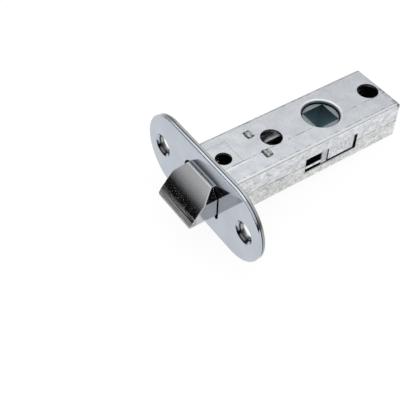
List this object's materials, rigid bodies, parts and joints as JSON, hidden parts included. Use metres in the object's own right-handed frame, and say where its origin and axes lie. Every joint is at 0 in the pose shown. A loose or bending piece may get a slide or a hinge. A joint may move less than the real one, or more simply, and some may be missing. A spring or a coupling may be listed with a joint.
{
  "type": "tubular door latch",
  "caption": "Tubular door latch: a steel case with a square follower socket, a screw-fixed forend plate and a sprung, bevelled bolt that the follower draws back.",
  "frame": {"origin": "on the axis of the follower's square socket, at mid thickness of the case", "axes": "+X along the bolt to its nose, +Y to the side of the case that the picture shows, +Z along the spindle towards the bevelled side of the bolt"},
  "size_m": [0.0769, 0.0564, 0.0264],
  "materials": {
    "case_steel": "zinc plated sheet, finely scratched",
    "forend_plate_steel": "plated, bright",
    "forend_chrome": "polished plate with fine wear",
    "bolt_chrome": "nickel plated, polished",
    "tail_steel": "zinc plated",
    "rivet_steel": "bright",
    "seat_steel": "zinc plated, staked ends",
    "rod_steel": "bright drawn wire",
    "spring_steel": "oiled spring wire",
    "follower_steel": "dark sintered steel",
    "washer_steel": "plain",
    "plunger_steel": "zinc plated"
  },
  "bodies": {
    "case": {"case_upper": "case_steel", "case_lower": "case_steel", "forend_plate": "forend_plate_steel", "forend_cover": "forend_chrome", "spring_seat": "seat_steel", "spring_rod": "rod_steel", "latch_spring": "spring_steel", "return_spring_near": "spring_steel", "return_spring_far": "spring_steel", "return_pin_near": "rod_steel", "return_pin_far": "rod_steel"},
    "follower": {"follower": "follower_steel", "follower_washer_upper": "washer_steel", "follower_washer_lower": "washer_steel"},
    "bolt": {"latch_bolt": "bolt_chrome", "tail_plate_upper": "tail_steel", "tail_plate_lower": "tail_steel", "tail_rivets": "rivet_steel"},
    "near_plunger": {"return_plunger_near": "plunger_steel"},
    "far_plunger": {"return_plunger_far": "plunger_steel"}
  },
  "joints": [
    {"name": "follower_turn", "type": "hinge", "parent": "case", "child": "follower", "pos_m": [0, 0, 0], "axis": [0, 0, 1], "range_deg": [0, 72]},
    {"name": "bolt_slide", "type": "slide", "parent": "case", "child": "bolt", "axis": [-1, 0, 0], "range_m": [0, 0.00952], "stiffness_N_per_m": 300, "springref_m": -0.004, "deforming": ["latch_spring"]},
    {"name": "near_plunger_slide", "type": "slide", "parent": "case", "child": "near_plunger", "axis": [-1, 0, 0], "range_m": [0, 0.00952], "stiffness_N_per_m": 150, "springref_m": -0.003, "deforming": ["return_spring_near"]},
    {"name": "far_plunger_slide", "type": "slide", "parent": "case", "child": "far_plunger", "axis": [-1, 0, 0], "range_m": [0, 0.00952], "stiffness_N_per_m": 150, "springref_m": -0.003, "deforming": ["return_spring_far"]}
  ],
  "couplings": [
    {"joint": "follower_turn", "follows": "bolt_slide", "rad_per_m": 131.97},
    {"joint": "near_plunger_slide", "follows": "bolt_slide", "ratio": 1}
  ]
}
